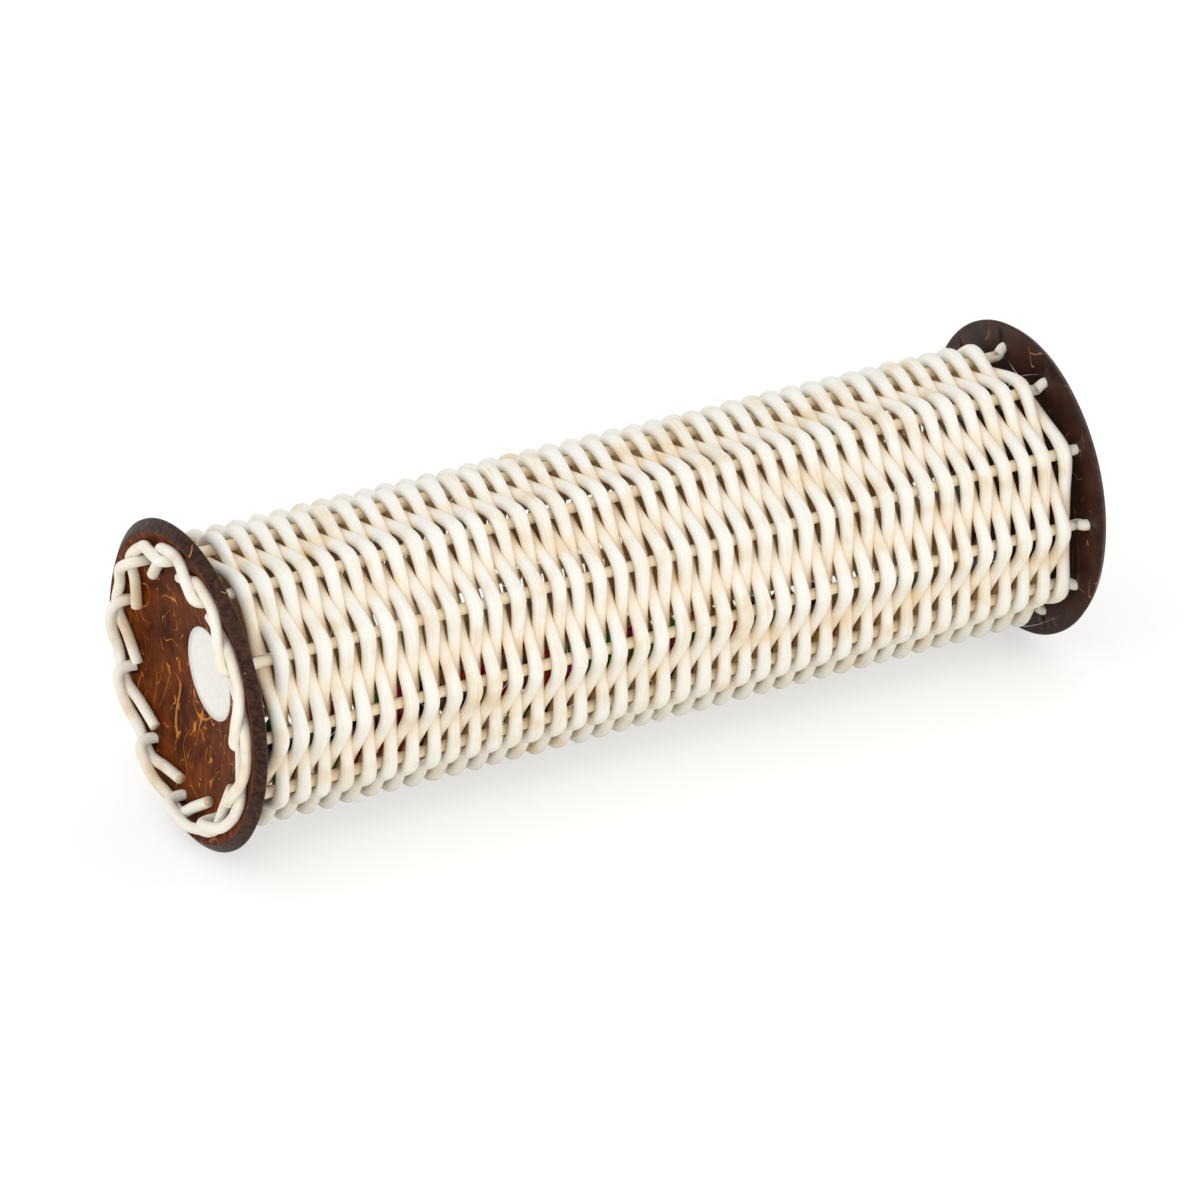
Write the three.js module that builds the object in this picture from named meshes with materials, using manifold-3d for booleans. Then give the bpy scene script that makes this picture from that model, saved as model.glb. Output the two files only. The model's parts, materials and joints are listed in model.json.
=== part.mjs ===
// A ganza: loose beads in a woven rattan tube, closed by two coconut-shell discs.
// Lengths are millimetres. +X runs along the tube, +Z is up, and the discs stand on z = 0.
import * as THREE from "three";
import Module from "manifold-3d";

const wasm = await Module();
wasm.setup();

// Driving dimensions of the discs, cut from coconut shell: the left one dished, hollow side out, the right one flat
const DISC_DIAMETER = 88;
const DISC_SPAN = 250; // between the two discs' inner rims
const RIM_LAND = 1; // along the tube, sanded square before the rim slants in to the outer face
const DISH_FACE_DIAMETER = 83;
const DISH_THICKNESS = 3.6;
const DISH_RADIUS = 115; // of the hollow face
const FLAT_FACE_DIAMETER = 85;
const FLAT_THICKNESS = 2.7;

// Driving dimensions of the stakes, the reeds that run along the tube
const STAKE_PAIRS = 5; // an odd number of stakes lets one reed weave round and round without a break
const STAKE_DIAMETER = 3;
const STAKE_CIRCLE_DIAMETER = 70; // in the wall and in the left disc
const FLARED_CIRCLE_DIAMETER = 73.6; // in the right disc, so the stakes flare a little to reach it
const FIRST_STAKE_ANGLE = 32.2; // degrees from the front, -Y, towards the top, at the left disc
const TWIST = 2.8; // degrees that the stakes turn, towards the top, on their way to the right disc
const STAKE_FLARE_START = 0.6; // past the weave's end

// Driving dimensions of the weave
const REED_WIDTH = 2.6; // along the tube
const REED_DEPTH = 3; // across the wall
const ROW_PITCH = 3.1;
const DISH_MARGIN = 0.4; // between the weave's inside and the left disc's bulge
const FLAT_MARGIN = 2.5; // between the weave and the right disc
const KNEE_HALF_LENGTH = 1.2; // half of the reed's flat stretch over a stake
const WEAVER_COUNT = 15;
const FIRST_CROSSED_STAKE = -2; // the reed starts behind the second stake before the first one

// Driving dimension of the stakes' ends, bent into a border on the left disc and laid flat on the right one
const TAIL_INSET = 4.5; // how far inside the holes' circle a cut end lies

// Driving dimensions of the beads
const BEAD_DIAMETER = 7;
const BEAD_LANES = 6;
const BEADS_PER_LANE = 4;
const BEAD_PITCH = 45; // between two beads of one lane
const BEAD_BED_START = 17; // from the left disc's rim to the middle of the first bead
const BEAD_SETTLE = 0.5; // how much deeper a bead settles between two stakes

// Clearances
const HOLE_CLEARANCE = 0.3;
const WEAVE_CLEARANCE = 0.3;
const BORDER_CLEARANCE = 0.3;
const BEAD_CLEARANCE = 0.3;
const SPLICE_GAP = 0.5; // between the ends of two weavers behind a stake

// Facets
const DISC_SIDES = 32;
const DISH_STEPS = 3; // from a dished face's middle to its edge, in rings of equal area
const HOLE_SIDES = 6;
const STAKE_SIDES = 6;
const BEAD_SIDES = 8;
const BEAD_RINGS = 4;
const POINTS_BETWEEN = 4; // points on each stretch of reed where the gap between rows is measured

// Worked out from the values above
const discRadius = DISC_DIAMETER / 2;
const discRim = DISC_SPAN / 2;
const stakeRadius = STAKE_DIAMETER / 2;
const stakeCircle = STAKE_CIRCLE_DIAMETER / 2;
const holeCircle = (end) => (end < 0 ? stakeCircle : FLARED_CIRCLE_DIAMETER / 2);
const stakeCount = 2 * STAKE_PAIRS + 1;
const stakeStep = (2 * Math.PI) / stakeCount;
const firstAngle = THREE.MathUtils.degToRad(FIRST_STAKE_ANGLE);
const turnAt = (x) => (THREE.MathUtils.degToRad(TWIST) * (x + discRim)) / DISC_SPAN;
const stakeAngle = (stake, x) => firstAngle + stake * stakeStep + turnAt(x);
const weaveOffset = stakeRadius + WEAVE_CLEARANCE + REED_DEPTH / 2;
const wallApothem = stakeCircle - weaveOffset - REED_DEPTH / 2;
const beadRadius = BEAD_DIAMETER / 2;

// How far from the tube's middle a disc's two faces lie, at a radius; the left end is -1 and the right one 1
const bulgeRadius = DISH_RADIUS + DISH_THICKNESS;
const dishCentre = discRim + Math.sqrt(bulgeRadius ** 2 - discRadius ** 2);
const innerFace = (end, radius) =>
  end < 0 ? dishCentre - Math.sqrt(bulgeRadius ** 2 - radius ** 2) : discRim;
const outerFace = (end, radius) =>
  end < 0 ? dishCentre - Math.sqrt(DISH_RADIUS ** 2 - radius ** 2) : discRim + FLAT_THICKNESS;
const weaveEnd = (end) => innerFace(end, wallApothem) - (end < 0 ? DISH_MARGIN : FLAT_MARGIN);

// Finishes seen in the photograph
const SHELL_FINISH = { color: 0x4a2a1c, roughness: 0.45, metalness: 0 };
const STAKE_FINISH = { color: 0xe9d3ae, roughness: 0.7, metalness: 0 };
const REED_FINISH = { color: 0xf4e8d2, roughness: 0.75, metalness: 0 };
const BEAD_COLOURS = [0x8f1a1a, 0x1f6b2a, 0x18224a, 0xb07a14, 0x9c1450];
const BEAD_ROUGHNESS = 0.2;

const numbered = (name, index) => `${name}_${String(index + 1).padStart(2, "0")}`;

// A point round the tube's axis: its place along the tube, its radius, and its angle from the front
const around = (x, radius, angle) =>
  new THREE.Vector3(x, -radius * Math.cos(angle), radius * Math.sin(angle));

// A closed skin over rings of points, each ring turning by the right hand about the way it travels
function skin(rings) {
  const sides = rings[0].length;
  const index = [];
  for (let ring = 0; ring + 1 < rings.length; ring++) {
    for (let side = 0; side < sides; side++) {
      const here = ring * sides + side;
      const next = ring * sides + ((side + 1) % sides);
      index.push(here, next, here + sides);
      index.push(next, next + sides, here + sides);
    }
  }
  const last = (rings.length - 1) * sides;
  for (let side = 1; side + 1 < sides; side++) {
    index.push(0, side + 1, side);
    index.push(last, last + side, last + side + 1);
  }
  const geometry = new THREE.BufferGeometry().setFromPoints(rings.flat());
  geometry.setIndex(index);
  geometry.computeVertexNormals();
  return geometry;
}

// A rod of even thickness along a path, mitred at each bend
function rod(path, radius, sides) {
  const ways = path.slice(1).map((point, i) => point.clone().sub(path[i]).normalize());
  const across = new THREE.Vector3(0, 0, 1).cross(ways[0]).normalize();
  const up = ways[0].clone().cross(across);
  let ring = Array.from({ length: sides }, (_, side) => {
    const turn = (2 * Math.PI * side) / sides;
    const offset = across.clone().multiplyScalar(radius * Math.cos(turn));
    return offset.addScaledVector(up, radius * Math.sin(turn)).add(path[0]);
  });
  const rings = [ring];
  for (let i = 1; i < path.length; i++) {
    const way = ways[i - 1];
    const mitre = way.clone().add(ways[i] ?? way).normalize();
    ring = ring.map((corner) => {
      const run = path[i].clone().sub(corner).dot(mitre) / way.dot(mitre);
      return corner.clone().addScaledVector(way, run);
    });
    rings.push(ring);
  }
  return skin(rings);
}

// A reed of oblong section along a path, with its width always along the tube
function flatReed(path) {
  const ways = path.slice(1).map((point, i) => point.clone().sub(path[i]).setX(0).normalize());
  const rings = path.map((point, i) => {
    const before = ways[i - 1] ?? ways[i];
    const after = ways[i] ?? ways[i - 1];
    const way = before.clone().add(after).normalize();
    const outward = new THREE.Vector3(0, -way.z, way.y);
    const reach = REED_DEPTH / 2 / way.dot(before);
    const corner = (along, out) =>
      point.clone().addScaledVector(outward, out * reach).setX(point.x + (along * REED_WIDTH) / 2);
    return [corner(1, -1), corner(-1, -1), corner(-1, 1), corner(1, 1)];
  });
  return skin(rings);
}

// A solid's mesh
function geometryOf(solid) {
  const mesh = solid.getMesh();
  const geometry = new THREE.BufferGeometry();
  geometry.setAttribute("position", new THREE.BufferAttribute(mesh.vertProperties, 3));
  geometry.setIndex(new THREE.BufferAttribute(mesh.triVerts, 1));
  geometry.computeVertexNormals();
  return geometry;
}

// End discs: turned from a profile of radius and distance from the tube's middle, and drilled for the stakes

function discProfile(end) {
  const faceRadius = (end < 0 ? DISH_FACE_DIAMETER : FLAT_FACE_DIAMETER) / 2;
  const steps = end < 0 ? DISH_STEPS : 1;
  const line = (face, edge) =>
    Array.from({ length: steps + 1 }, (_, step) => {
      const radius = edge * Math.sqrt(step / steps);
      return [radius, face(end, radius)];
    });
  const land = [discRadius, discRim + RIM_LAND];
  return [...line(innerFace, discRadius), land, ...line(outerFace, faceRadius).reverse()];
}

function makeDiscSolid(end) {
  const halfFacet = Math.PI / DISC_SIDES;
  const flats = discProfile(end).map(([radius, x]) => [radius / Math.cos(halfFacet), x]);
  const turned = wasm.Manifold.revolve([flats], DISC_SIDES)
    .rotate([0, 0, THREE.MathUtils.radToDeg(halfFacet)])
    .rotate([0, 90, 0]);
  const holeRadius = (stakeRadius + HOLE_CLEARANCE) / Math.cos(Math.PI / HOLE_SIDES);
  const drill = wasm.Manifold.cylinder(2 * discRim, holeRadius, holeRadius, HOLE_SIDES).rotate([0, 90, 0]);
  const drills = Array.from({ length: stakeCount }, (_, stake) =>
    drill.translate(around(0, holeCircle(end), stakeAngle(stake, end * discRim)).toArray()),
  );
  const drilled = wasm.Manifold.difference([turned, ...drills]);
  return end < 0 ? drilled.mirror([1, 0, 0]) : drilled;
}

function makeDiscs() {
  return Object.entries({ end_disc_left: -1, end_disc_right: 1 }).map(([name, end]) => {
    const disc = new THREE.Mesh(geometryOf(makeDiscSolid(end)), new THREE.MeshStandardMaterial(SHELL_FINISH));
    disc.name = name;
    return disc;
  });
}

// Stakes: each runs through both discs, and its ends are bent over on their outer faces

function stakeEnd(end, stake) {
  const angle = stakeAngle(stake, end * discRim);
  const lying = stakeRadius + BORDER_CLEARANCE;
  const crossing = lying + STAKE_DIAMETER + BORDER_CLEARANCE;
  const hole = holeCircle(end);
  const outside = hole + STAKE_DIAMETER + BORDER_CLEARANCE;
  const inside = hole - TAIL_INSET;
  // Each point has its reach round the disc in stake steps, its radius, and its height over the disc's face
  const border = [
    [0, hole, lying + STAKE_DIAMETER],
    [0.25, (hole + outside) / 2, crossing + 2 * BORDER_CLEARANCE],
    [0.5, outside, lying + stakeRadius],
    [0.75, outside, lying],
    [1, outside, lying],
    [1.2, outside - 2 * BORDER_CLEARANCE, lying],
    [1.45, hole - stakeRadius, lying],
    [1.9, inside, lying],
  ];
  const laidFlat = [
    [0, hole, lying],
    [0.8, inside, lying],
  ];
  const bent = (end < 0 ? border : laidFlat).map(([reach, radius, height]) => {
    const x = end * (outerFace(end, radius) + height);
    return around(x, radius, angle - end * reach * stakeStep);
  });
  if (hole === stakeCircle) {
    return bent;
  }
  const flareStart = weaveEnd(end) + STAKE_FLARE_START;
  const flare = [
    around(end * flareStart, stakeCircle, angle),
    around(end * (flareStart + hole - stakeCircle), hole, angle),
  ];
  return [...flare, ...bent];
}

function makeStakes() {
  return Array.from({ length: stakeCount }, (_, index) => {
    const path = [...stakeEnd(-1, index).reverse(), ...stakeEnd(1, index)];
    const geometry = rod(path, stakeRadius, STAKE_SIDES);
    const stake = new THREE.Mesh(geometry, new THREE.MeshStandardMaterial(STAKE_FINISH));
    stake.name = numbered("stake", index);
    return stake;
  });
}

// Weavers: reeds that go round the tube, over one stake and under the next

const firstRow = -weaveEnd(-1) + REED_WIDTH / 2;
const lastRow = weaveEnd(1) - REED_WIDTH / 2;
const crossingStep = ROW_PITCH / stakeCount;
const crossings = Math.floor((lastRow - firstRow) / crossingStep);

// The reed's points at one crossing: a single point under an even one, and a flat knee over an odd one
function crossingPoints(crossing) {
  const x = firstRow + crossing * crossingStep;
  const angle = stakeAngle(FIRST_CROSSED_STAKE + crossing, x);
  const along = new THREE.Vector3(0, Math.sin(angle), Math.cos(angle));
  if (crossing % 2 === 0) {
    return [around(x, stakeCircle - weaveOffset, angle)];
  }
  return [-1, 1].map((side) =>
    around(x, stakeCircle + weaveOffset, angle).addScaledVector(along, side * KNEE_HALF_LENGTH),
  );
}

// A weaver starts and ends behind a stake, where the next one takes over
const spliceCrossing = (weaver) => 2 * Math.floor((crossings * weaver) / (2 * WEAVER_COUNT));

function weaverPath(weaver) {
  const path = [];
  for (let crossing = spliceCrossing(weaver); crossing <= spliceCrossing(weaver + 1); crossing++) {
    path.push(...crossingPoints(crossing));
  }
  const shorten = (end, inner) => end.addScaledVector(inner.clone().sub(end).normalize(), SPLICE_GAP / 2);
  shorten(path[0], path[1]);
  shorten(path.at(-1), path.at(-2));
  return path;
}

// The least gap between one turn of the reed and the next, measured on points along it
function leastRowGap(path) {
  const points = [];
  for (let i = 0; i + 1 < path.length; i++) {
    for (let part = 0; part < POINTS_BETWEEN; part++) {
      points.push(path[i].clone().lerp(path[i + 1], part / POINTS_BETWEEN));
    }
  }
  const halfTurn = Math.floor((points.length * stakeCount * crossingStep) / (lastRow - firstRow) / 2);
  let least = Infinity;
  for (let i = 0; i < points.length; i++) {
    for (let j = i + halfTurn; j < points.length; j++) {
      const along = Math.abs(points[j].x - points[i].x) - REED_WIDTH;
      const across = Math.hypot(points[j].y - points[i].y, points[j].z - points[i].z) - REED_DEPTH;
      least = Math.min(least, Math.max(along, across));
    }
  }
  return least;
}

function makeWeavers() {
  const paths = Array.from({ length: WEAVER_COUNT }, (_, index) => weaverPath(index));
  console.log(`least gap between rows of reed: ${leastRowGap(paths.flat()).toFixed(2)} mm`);
  return paths.map((path, index) => {
    const weaver = new THREE.Mesh(flatReed(path), new THREE.MeshStandardMaterial(REED_FINISH));
    weaver.name = numbered("weaver", index);
    return weaver;
  });
}

// Beads: one loose layer on the tube's floor, in lanes at and between the stakes

// The place along the tube, nearest to x, where the reed passes under a stake and holds a bead
function seatNear(x, stake) {
  const position = THREE.MathUtils.euclideanModulo(stake - FIRST_CROSSED_STAKE, stakeCount);
  const firstUnder = position % 2 ? position + stakeCount : position;
  const turns = Math.round(((x - firstRow) / crossingStep - firstUnder) / (2 * stakeCount));
  return firstRow + (firstUnder + 2 * stakeCount * turns) * crossingStep;
}

function makeBeads() {
  const lowestStake = Math.round((-Math.PI / 2 - firstAngle) / stakeStep);
  const restRadius = wallApothem - BEAD_CLEARANCE - beadRadius;
  const beads = [];
  for (let lane = 0; lane < BEAD_LANES; lane++) {
    const atStake = lane % 2 === 0;
    const stake = lowestStake + lane / 2 - 1;
    const radius = atStake ? restRadius : restRadius / Math.cos(stakeStep / 2) + BEAD_SETTLE;
    const start = -discRim + BEAD_BED_START + (atStake ? 0 : BEAD_PITCH / 2);
    for (let place = 0; place < BEADS_PER_LANE; place++) {
      const x = start + place * BEAD_PITCH;
      const color = BEAD_COLOURS[beads.length % BEAD_COLOURS.length];
      const finish = { color, roughness: BEAD_ROUGHNESS, metalness: 0 };
      const geometry = new THREE.SphereGeometry(beadRadius, BEAD_SIDES, BEAD_RINGS);
      const bead = new THREE.Mesh(geometry, new THREE.MeshStandardMaterial(finish));
      bead.name = numbered("bead", beads.length);
      const seat = atStake ? seatNear(x, stake) : x;
      bead.position.copy(around(seat, radius, stakeAngle(stake, seat)));
      beads.push(bead);
    }
  }
  return beads;
}

const ganza = new THREE.Group();
ganza.add(...makeDiscs(), ...makeStakes(), ...makeWeavers(), ...makeBeads());
const box = new THREE.Box3().setFromObject(ganza);
ganza.position.set(-(box.min.x + box.max.x) / 2, 0, discRadius);
console.log(`the tube's middle lies at x = ${ganza.position.x.toFixed(3)} mm`);

export default ganza;
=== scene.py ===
"""The ganza's looks: round rattan reed, coconut shell and glossy beads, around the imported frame."""

import json
import math

import bpy
import numpy as np
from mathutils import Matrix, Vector


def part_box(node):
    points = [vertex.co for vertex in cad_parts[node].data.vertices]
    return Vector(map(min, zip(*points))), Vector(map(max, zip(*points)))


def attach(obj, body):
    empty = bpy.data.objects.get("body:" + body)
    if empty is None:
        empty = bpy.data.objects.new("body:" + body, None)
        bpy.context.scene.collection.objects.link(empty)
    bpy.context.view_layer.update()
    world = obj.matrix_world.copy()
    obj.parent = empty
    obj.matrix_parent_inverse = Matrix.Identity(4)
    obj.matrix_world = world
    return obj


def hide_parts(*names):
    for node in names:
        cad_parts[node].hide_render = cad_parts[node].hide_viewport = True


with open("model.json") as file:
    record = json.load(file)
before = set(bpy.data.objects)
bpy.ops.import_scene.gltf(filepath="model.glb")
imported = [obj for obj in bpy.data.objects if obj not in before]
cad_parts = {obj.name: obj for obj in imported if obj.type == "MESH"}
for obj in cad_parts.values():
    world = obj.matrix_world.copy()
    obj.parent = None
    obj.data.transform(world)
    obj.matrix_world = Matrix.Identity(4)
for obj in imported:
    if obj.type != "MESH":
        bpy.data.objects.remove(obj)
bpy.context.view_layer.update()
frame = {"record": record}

MM = 0.001
FULL_TURN = 2 * math.pi
LEFT = -1
RIGHT = 1
SEED = 11
rng = np.random.default_rng(SEED)

# The discs' sizes: places and diameter from the frame, the rest as in the part
left_low, left_high = (np.array(corner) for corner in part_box("end_disc_left"))
right_low, _ = (np.array(corner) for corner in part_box("end_disc_right"))
AXIS_Z = (left_low[2] + left_high[2]) / 2
DISC_RADIUS = (left_high[2] - left_low[2]) / 2
DISC_RIM = 125 * MM
TUBE_MIDDLE = right_low[0] - DISC_RIM
RIM_LAND = 1 * MM
FACE_RADII = {LEFT: 41.5 * MM, RIGHT: 42.5 * MM}
DISH_RADIUS = 115 * MM
BULGE_RADIUS = 118.6 * MM
DISH_CENTRE = DISC_RIM + math.sqrt(BULGE_RADIUS**2 - DISC_RADIUS**2)
FLAT_THICKNESS = 2.7 * MM

# The weave's sizes, as in the part
STAKE_COUNT = 11
STAKE_RADIUS = 1.5 * MM
STAKE_CIRCLE = 35 * MM
HOLE_CIRCLES = {LEFT: STAKE_CIRCLE, RIGHT: 36.8 * MM}
STAKE_STEP = FULL_TURN / STAKE_COUNT
FIRST_STAKE_ANGLE = math.radians(32.2)
TWIST = math.radians(2.8)
FIRST_CROSSED_STAKE = -2
ROW_PITCH = 3.1 * MM
WEAVE_INSIDE = 30.2 * MM
DISH_MARGIN = 0.4 * MM
FLAT_MARGIN = 2.5 * MM
SOLID_REED_WIDTH = 2.6 * MM
WEAVER_COUNT = 15

# The left disc's hand-sanded outline: long at its upper back, short and thin at its lower back
LONG_ANGLE = math.radians(135)
LONG_HALF_WIDTH = math.radians(42)
LONG_REACH = 0.9 * MM
WORN_ANGLE = math.radians(225)
WORN_HALF_WIDTH = math.radians(54)
WORN_REACH = 1.8 * MM
WORN_DEPTH = 1.6 * MM
BORDER_SPREAD = 2.8 * MM


def around(x, radius, angle):
    """Points round the tube's axis, with the angle from the front, -Y, towards the top."""
    x, radius, angle = np.broadcast_arrays(x, radius, angle)
    return np.stack([TUBE_MIDDLE + x, -radius * np.cos(angle), AXIS_Z + radius * np.sin(angle)], axis=-1)


def stake_angle(stake, x):
    """A stake's angle at a place along the tube, which twists a little."""
    return FIRST_STAKE_ANGLE + stake * STAKE_STEP + TWIST * (x + DISC_RIM) / (2 * DISC_RIM)


def inner_face(end, radius):
    """How far from the tube's middle a disc's inner face lies."""
    if end == LEFT:
        return DISH_CENTRE - np.sqrt(BULGE_RADIUS**2 - np.square(radius))
    return DISC_RIM


def outer_face(end, radius):
    """How far from the tube's middle a disc's outer face lies."""
    if end == LEFT:
        return DISH_CENTRE - np.sqrt(DISH_RADIUS**2 - np.square(radius))
    return DISC_RIM + FLAT_THICKNESS


def bulge(angle, middle, half_width):
    """One at the middle angle, falling smoothly to nothing half a width away."""
    away = np.abs((angle - middle + math.pi) % FULL_TURN - math.pi)
    return np.cos(np.minimum(away / half_width, 1) * math.pi / 2) ** 2


def sanded(end, radius, x, angle, thinning=1):
    """A point on a disc's outer side after uneven sanding, as its radius and place along the tube.

    thinning is the share of the wear's depth that the point takes.
    """
    if end == RIGHT:
        return radius, x
    border = STAKE_CIRCLE + BORDER_SPREAD
    past_border = np.clip((radius - border) / (DISC_RADIUS - border), 0, 1)
    worn = bulge(angle, WORN_ANGLE, WORN_HALF_WIDTH)
    stretch = LONG_REACH * bulge(angle, LONG_ANGLE, LONG_HALF_WIDTH) - WORN_REACH * worn
    depth = WORN_DEPTH * thinning * worn * np.square(radius / FACE_RADII[LEFT])
    return radius + past_border * stretch, x - depth


def unit(vectors):
    return vectors / np.linalg.norm(vectors, axis=-1, keepdims=True)


def tangents(points):
    return unit(np.gradient(points, axis=0))


# Material building blocks

REED_UV = "reed"
NOISE_MIDDLE = 0.5
TAN_LEVEL = 0.12
STREAK_STRETCH = (1.0, 1.0, 0.5)
STREAK_BREAKS = 1.3
STREAK_FADE = 0.06
SPECK_CORE = 0.6
MOTTLE_RANGE = (0.38, 0.64)
BEAD_TONES = (1.8, 2.4)  # how much brighter than the record's the colours are, for the tube's shade


def new_material(name):
    material = bpy.data.materials.new(name)
    material.use_nodes = True
    nodes = material.node_tree.nodes
    return material, nodes, material.node_tree.links, nodes["Principled BSDF"]


def add_node(nodes, kind, **values):
    """A node with its own properties, and with its sockets set by name."""
    node = nodes.new(kind)
    for key, value in values.items():
        if key in node.inputs:
            node.inputs[key].default_value = value
        else:
            setattr(node, key, value)
    return node


def set_sockets(node, values):
    for key, value in values.items():
        node.inputs[key].default_value = value


def object_place(nodes):
    return add_node(nodes, "ShaderNodeTexCoord").outputs["Object"]


def noise(nodes, links, vector, **values):
    node = add_node(nodes, "ShaderNodeTexNoise", **values)
    links.new(vector, node.inputs["Vector"])
    return node.outputs["Fac"]


def worked_out(nodes, links, operation, *values):
    """The result of a maths node on values that are sockets or plain numbers."""
    node = add_node(nodes, "ShaderNodeMath", operation=operation)
    for value, socket in zip(values, node.inputs):
        if isinstance(value, bpy.types.NodeSocket):
            links.new(value, socket)
        else:
            socket.default_value = value
    return node.outputs["Value"]


def fade(nodes, links, source, start, end):
    """Rises evenly from nought where the source is at start to one where it is at end."""
    node = add_node(nodes, "ShaderNodeMapRange", clamp=True)
    set_sockets(node, {"From Min": start, "From Max": end})
    links.new(source, node.inputs["Value"])
    return node.outputs["Result"]


def ramp(nodes, links, source, stops):
    """A colour ramp on a value, with stops of (position, colour)."""
    node = nodes.new("ShaderNodeValToRGB")
    elements = node.color_ramp.elements
    while len(elements) < len(stops):
        elements.new(0.5)
    for element, (position, colour) in zip(elements, stops):
        element.position = position
        element.color = (*colour, 1)
    links.new(source, node.inputs["Fac"])
    return node.outputs["Color"]


def add_bump(nodes, links, shader, height, strength, depth):
    bump = add_node(nodes, "ShaderNodeBump", Strength=strength, Distance=depth)
    links.new(height, bump.inputs["Height"])
    links.new(bump.outputs["Normal"], shader.inputs["Normal"])


def streak_mask(nodes, links, vector, scale, width, keep, seed):
    """Hair lines where a noise crosses its middle, kept only where a second noise is high."""
    shift = add_node(nodes, "ShaderNodeMapping", Location=(seed, seed * 2, seed * 3), Scale=STREAK_STRETCH)
    links.new(vector, shift.inputs["Vector"])
    shifted = shift.outputs["Vector"]
    field = noise(nodes, links, shifted, Scale=scale, Detail=1.0, Roughness=0.4, Distortion=0.4)
    away = worked_out(nodes, links, "SUBTRACT", field, NOISE_MIDDLE)
    line = fade(nodes, links, worked_out(nodes, links, "ABSOLUTE", away), width, 0)
    broken = noise(nodes, links, shifted, Scale=scale * STREAK_BREAKS, Detail=1.0)
    kept = fade(nodes, links, broken, keep, keep + STREAK_FADE)
    return worked_out(nodes, links, "MULTIPLY", line, kept)


def speck_mask(nodes, links, vector, scale, size, keep):
    """Small dots, one in each cell that is kept of a scattered pattern."""
    cells = add_node(nodes, "ShaderNodeTexVoronoi", Scale=scale)
    links.new(vector, cells.inputs["Vector"])
    dot = fade(nodes, links, cells.outputs["Distance"], size, size * SPECK_CORE)
    chance = add_node(nodes, "ShaderNodeSeparateColor")
    links.new(cells.outputs["Color"], chance.inputs["Color"])
    kept = worked_out(nodes, links, "GREATER_THAN", chance.outputs["Red"], keep)
    return worked_out(nodes, links, "MULTIPLY", dot, kept)


def backdrop_rays(nodes, links):
    """One for the rays that see the white surroundings: from the camera, reflected, or through glass."""
    rays = nodes.new("ShaderNodeLightPath")
    seen = rays.outputs["Is Camera Ray"]
    for kind in ("Is Glossy Ray", "Is Transmission Ray"):
        seen = worked_out(nodes, links, "MAXIMUM", seen, rays.outputs[kind])
    return seen


# Materials


def reed_material(name, light, tan, tan_share, inside, measured, reach):
    """Bleached rattan core: fine fibres, stretches of warmer tone, and painted shade deep in the wall.

    measured picks the directions in which the way from the tube's middle counts. Over the two lengths in
    reach the tone goes over from inside, a painted shade for the parts deep in the weave, to the reed's
    own tone.
    """
    material, nodes, links, shader = new_material(name)
    uv = add_node(nodes, "ShaderNodeUVMap", uv_map=REED_UV)
    stretch = add_node(nodes, "ShaderNodeMapping", Scale=(60, 26, 1))
    links.new(uv.outputs["UV"], stretch.inputs["Vector"])
    fibres = noise(nodes, links, stretch.outputs["Vector"], Scale=1.0, Detail=4.0, Roughness=0.6)
    place = object_place(nodes)
    patches = noise(nodes, links, place, Scale=90.0, Detail=2.0)
    blend = worked_out(nodes, links, "MULTIPLY", fibres, patches)
    stops = [(TAN_LEVEL, tan), (TAN_LEVEL + tan_share, light), (1.0, light)]
    colour = ramp(nodes, links, blend, stops)
    from_middle = add_node(nodes, "ShaderNodeVectorMath", operation="SUBTRACT")
    from_middle.inputs[1].default_value = (TUBE_MIDDLE, 0, AXIS_Z)
    links.new(place, from_middle.inputs[0])
    counted = add_node(nodes, "ShaderNodeVectorMath", operation="MULTIPLY")
    counted.inputs[1].default_value = measured
    links.new(from_middle.outputs["Vector"], counted.inputs[0])
    shade_distance = add_node(nodes, "ShaderNodeVectorMath", operation="LENGTH")
    links.new(counted.outputs["Vector"], shade_distance.inputs[0])
    # Painted shade: the inside tone is mixed in by the distance from the tube's middle
    tone = add_node(nodes, "ShaderNodeMix", data_type="RGBA")
    tone.inputs["A"].default_value = (*inside, 1)
    links.new(fade(nodes, links, shade_distance.outputs["Value"], *reach), tone.inputs["Factor"])
    links.new(colour, tone.inputs["B"])
    links.new(tone.outputs["Result"], shader.inputs["Base Color"])
    add_bump(nodes, links, shader, fibres, strength=0.45, depth=0.2 * MM)
    set_sockets(shader, {
        "Roughness": 0.62,
        "Specular IOR Level": 0.3,
        "Subsurface Weight": 0.2,
        "Subsurface Radius": (1.0, 0.65, 0.35),
        "Subsurface Scale": 1.5 * MM,
    })
    return material


def cut_material():
    """The sawn end of a reed, with open pores."""
    material, nodes, links, shader = new_material("reed_cut")
    pores = add_node(nodes, "ShaderNodeTexVoronoi", Scale=3200.0)
    links.new(object_place(nodes), pores.inputs["Vector"])
    stops = [(0.1, (0.42, 0.27, 0.13)), (0.35, (0.80, 0.68, 0.48)), (1.0, (0.86, 0.76, 0.58))]
    links.new(ramp(nodes, links, pores.outputs["Distance"], stops), shader.inputs["Base Color"])
    set_sockets(shader, {"Roughness": 0.85})
    return material


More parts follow.
